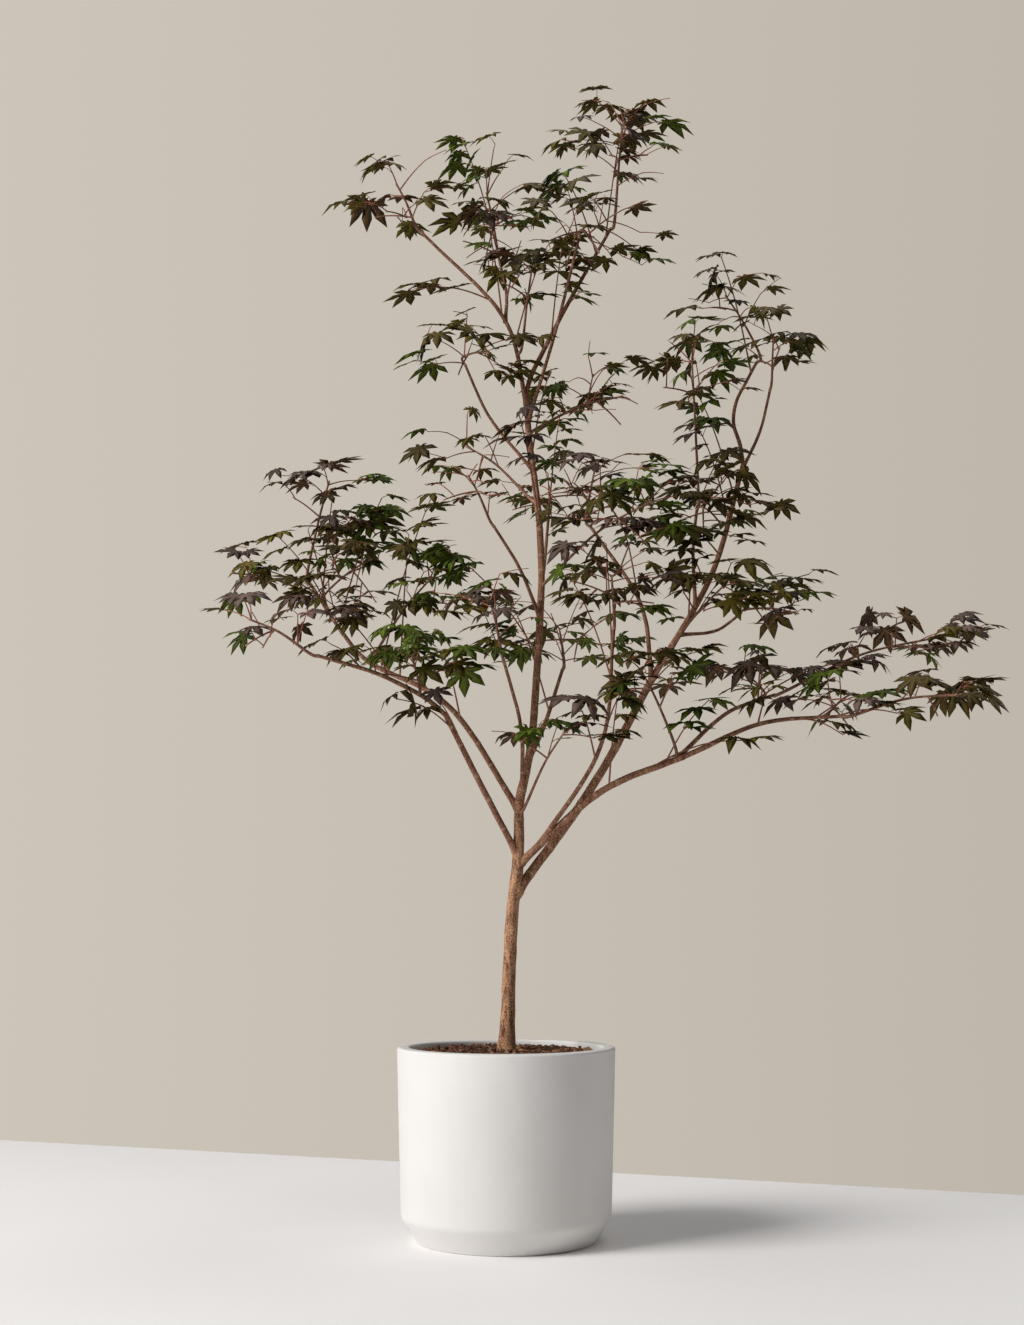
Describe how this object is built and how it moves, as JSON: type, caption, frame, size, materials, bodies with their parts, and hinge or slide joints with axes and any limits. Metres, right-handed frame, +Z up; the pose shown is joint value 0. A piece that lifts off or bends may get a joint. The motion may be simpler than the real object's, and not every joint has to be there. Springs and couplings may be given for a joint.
{
  "type": "potted japanese maple",
  "caption": "Young japanese maple with a slim forked trunk and open tiers of palmate bronze and green leaves, in a round matt white pot with a chamfered foot.",
  "frame": {"origin": "centre of the pot's flat underside", "axes": "+Z up, along the pot's axis and the tree's height; -Y is the front, the side the picture shows; +X is to the right in it"},
  "size_m": [1.355, 0.7179, 1.9912],
  "materials": {
    "white_pot": "matt off-white",
    "bark_mulch": "dark rough bark mulch",
    "bark": "brown young bark",
    "bronze": "dark bronze leaf",
    "purple": "purple-bronze leaf",
    "olive": "olive-bronze leaf",
    "green": "mid green leaf"
  },
  "bodies": {
    "root": {"pot": "white_pot", "soil": "bark_mulch", "trunk": "bark", "left_low_bough": "bark", "left_low_end": "bark", "left_bough": "bark", "left_bough_end": "bark", "front_stem": "bark", "right_low_bough": "bark", "right_low_end": "bark", "right_low_fork": "bark", "right_inner_stem": "bark", "right_main_bough": "bark", "right_main_right": "bark", "right_main_left": "bark", "right_top_left": "bark", "right_top_right": "bark", "right_mid_stem": "bark", "right_shelf_bough": "bark", "left_mid_stem": "bark", "left_high_stem": "bark", "top_right_bough": "bark", "top_left_bough": "bark", "top_left_stem": "bark", "top_front_stem": "bark", "back_low_bough": "bark", "back_high_bough": "bark", "leaves_right_low_tip": "bronze", "leaves_right_low_shelf": "purple", "leaves_right_low_mid": "green", "leaves_right_low_inner": "bronze", "leaves_right_shelf": "bronze", "leaves_right_top_low": "bronze", "leaves_right_top": "olive", "leaves_right_mid_top": "bronze", "leaves_centre_top": "green", "leaves_centre_back": "bronze", "leaves_centre_front": "purple", "leaves_right_mid": "bronze", "leaves_front_low": "bronze", "leaves_right_inner": "green", "leaves_low_right": "purple", "leaves_front": "purple", "leaves_left_mid": "bronze", "leaves_left_back": "olive", "leaves_left_high": "olive", "leaves_left_end": "bronze", "leaves_left_inner": "green", "leaves_left_shelf": "purple", "leaves_left_tip": "purple", "leaves_left_low": "green", "leaves_left_low_tip": "purple", "leaves_top_left": "olive", "leaves_top_mid": "bronze", "leaves_top_low": "bronze", "leaves_top_front": "bronze", "leaves_top": "olive", "leaves_low_front": "green", "leaves_back_low": "green", "leaves_back_high": "bronze"}
  },
  "joints": []
}
